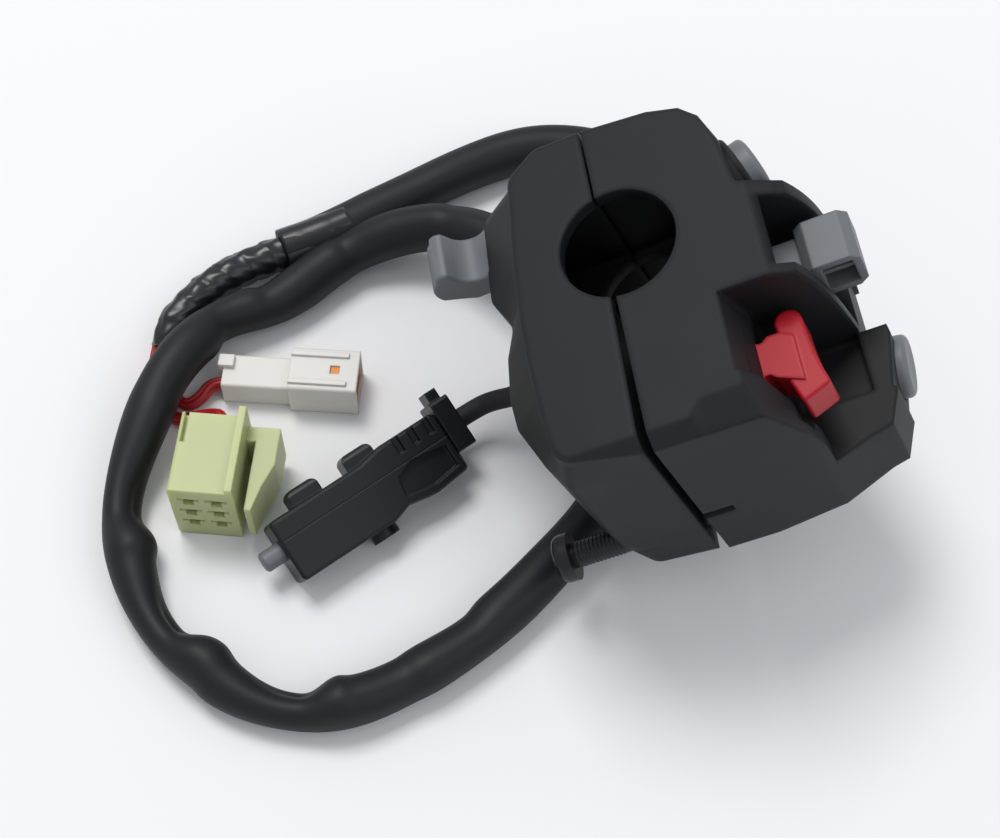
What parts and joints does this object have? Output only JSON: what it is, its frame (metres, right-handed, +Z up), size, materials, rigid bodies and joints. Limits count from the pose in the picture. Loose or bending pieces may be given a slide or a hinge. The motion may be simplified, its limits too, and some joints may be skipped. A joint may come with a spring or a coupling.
{
  "type": "handlebar switch cluster",
  "caption": "Motorbike handlebar switch cluster in two clamped halves, with buttons, a turn signal paddle, a rocker, a finger trigger, a lever switch and a sleeved harness with connectors",
  "frame": {"origin": "centre of the bar bore on the case's near end face", "axes": "+Z up from the table the cluster lies on; +X to the rider's side of the case, toward the buttons; +Y to the top of the case as it sits on a bike. The bar's axis lies in the X-Z plane, 22.8 degrees from +Z towards -X"},
  "size_m": [0.1596, 0.1384, 0.0775],
  "materials": {
    "case_black": "fine satin moulded grain",
    "rear_case_black": "fine satin moulded grain",
    "clamp_screw": "black coated machine screw",
    "upper_screw": "black coated machine screw",
    "nut_steel": "zinc plated",
    "carrier_nylon": "plain moulded",
    "board": "printed board, green solder resist",
    "small_screw": "zinc plated",
    "button_black": "satin",
    "bezel": "satin",
    "key_switch": "moulded",
    "mode_button": "satin",
    "mode_switch": "moulded",
    "mode_board": "printed board",
    "paddle_grey": "satin",
    "paddle_pin": "bright",
    "detent_ball": "polished",
    "rocker_red": "satin",
    "rocker_pin": "bright",
    "trigger_grey": "satin",
    "trigger_pin": "bright",
    "microswitch": "moulded",
    "microswitch_pin": "moulded",
    "grommet": "matt",
    "lead_grommet": "matt",
    "lever_body": "satin",
    "lever_cover": "satin",
    "lever_end": "satin",
    "plunger_grey": "satin",
    "connector_white": "satin",
    "lock_orange": "satin",
    "contacts_tin": "tin plated",
    "connector_green": "translucent nylon",
    "terminals": "brass",
    "sleeve": "soft vinyl",
    "tape": "vinyl tape",
    "white_wires": "red insulation",
    "green_wires": "red insulation",
    "lead": "vinyl"
  },
  "bodies": {
    "housing": {"front_case": "case_black", "rear_case": "rear_case_black", "lower_clamp_screw": "clamp_screw", "upper_clamp_screw": "upper_screw", "clamp_nuts": "nut_steel", "switch_carrier": "carrier_nylon", "contact_board": "board", "carrier_screws": "small_screw", "top_button_bezel": "bezel", "top_key_switch": "key_switch", "mode_key_switch": "mode_switch", "mode_board": "mode_board", "turn_paddle_pin": "paddle_pin", "turn_detent_ball": "detent_ball", "red_rocker_pin": "rocker_pin", "trigger_pin": "trigger_pin", "trigger_microswitch": "microswitch", "harness_grommet": "grommet", "lead_grommet": "lead_grommet", "lever_switch_body": "lever_body", "lever_switch_cover": "lever_cover", "lever_switch_end": "lever_end", "white_connector_shell": "connector_white", "white_connector_lock": "lock_orange", "white_connector_contacts": "contacts_tin", "green_connector_housing": "connector_green", "green_connector_terminals": "terminals", "harness_sleeve": "sleeve", "harness_taped_end": "tape", "white_connector_wires": "white_wires", "green_connector_wires": "green_wires", "lever_switch_lead": "lead"},
    "top_button": {"top_button": "button_black"},
    "mode_button": {"mode_button": "mode_button"},
    "turn_paddle": {"turn_paddle": "paddle_grey"},
    "red_rocker": {"red_rocker": "rocker_red"},
    "finger_trigger": {"finger_trigger": "trigger_grey"},
    "microswitch_pin": {"microswitch_pin": "microswitch_pin"},
    "lever_plunger": {"lever_plunger": "plunger_grey"}
  },
  "joints": [
    {"name": "trigger_pull", "type": "hinge", "parent": "housing", "child": "finger_trigger", "pos_m": [-0.01578, 0.0165, -0.02182], "axis": [0, -1, 0], "range_deg": [0, 8], "stiffness_Nm_per_rad": 0.05, "springref_deg": -8.02},
    {"name": "microswitch_press", "type": "slide", "parent": "housing", "child": "microswitch_pin", "axis": [-0.3875, 0, 0.9219], "range_m": [0, 0.001]},
    {"name": "top_button_press", "type": "slide", "parent": "housing", "child": "top_button", "axis": [-0.8767, -0.309, -0.3685], "range_m": [0, 0.0014], "stiffness_N_per_m": 900, "springref_m": -0.001},
    {"name": "mode_button_press", "type": "slide", "parent": "housing", "child": "mode_button", "axis": [-0.9105, 0.1564, -0.3827], "range_m": [0, 0.0014], "stiffness_N_per_m": 900, "springref_m": -0.001},
    {"name": "turn_paddle_swing", "type": "hinge", "parent": "housing", "child": "turn_paddle", "pos_m": [0.02297, -0.0075, -0.00716], "axis": [0, 1, 0], "range_deg": [-9, 9], "stiffness_Nm_per_rad": 0.15},
    {"name": "red_rocker_swing", "type": "hinge", "parent": "housing", "child": "red_rocker", "pos_m": [0.01863, -0.027, -0.00768], "axis": [-0.3875, 0, 0.9219], "range_deg": [-7, 7]},
    {"name": "lever_plunger_press", "type": "slide", "parent": "housing", "child": "lever_plunger", "axis": [0.8788, 0.4772, 0], "range_m": [0, 0.0025], "stiffness_N_per_m": 300, "springref_m": -0.001}
  ],
  "couplings": [
    {"joint": "microswitch_press", "follows": "trigger_pull", "m_per_rad": 0.007162}
  ]
}
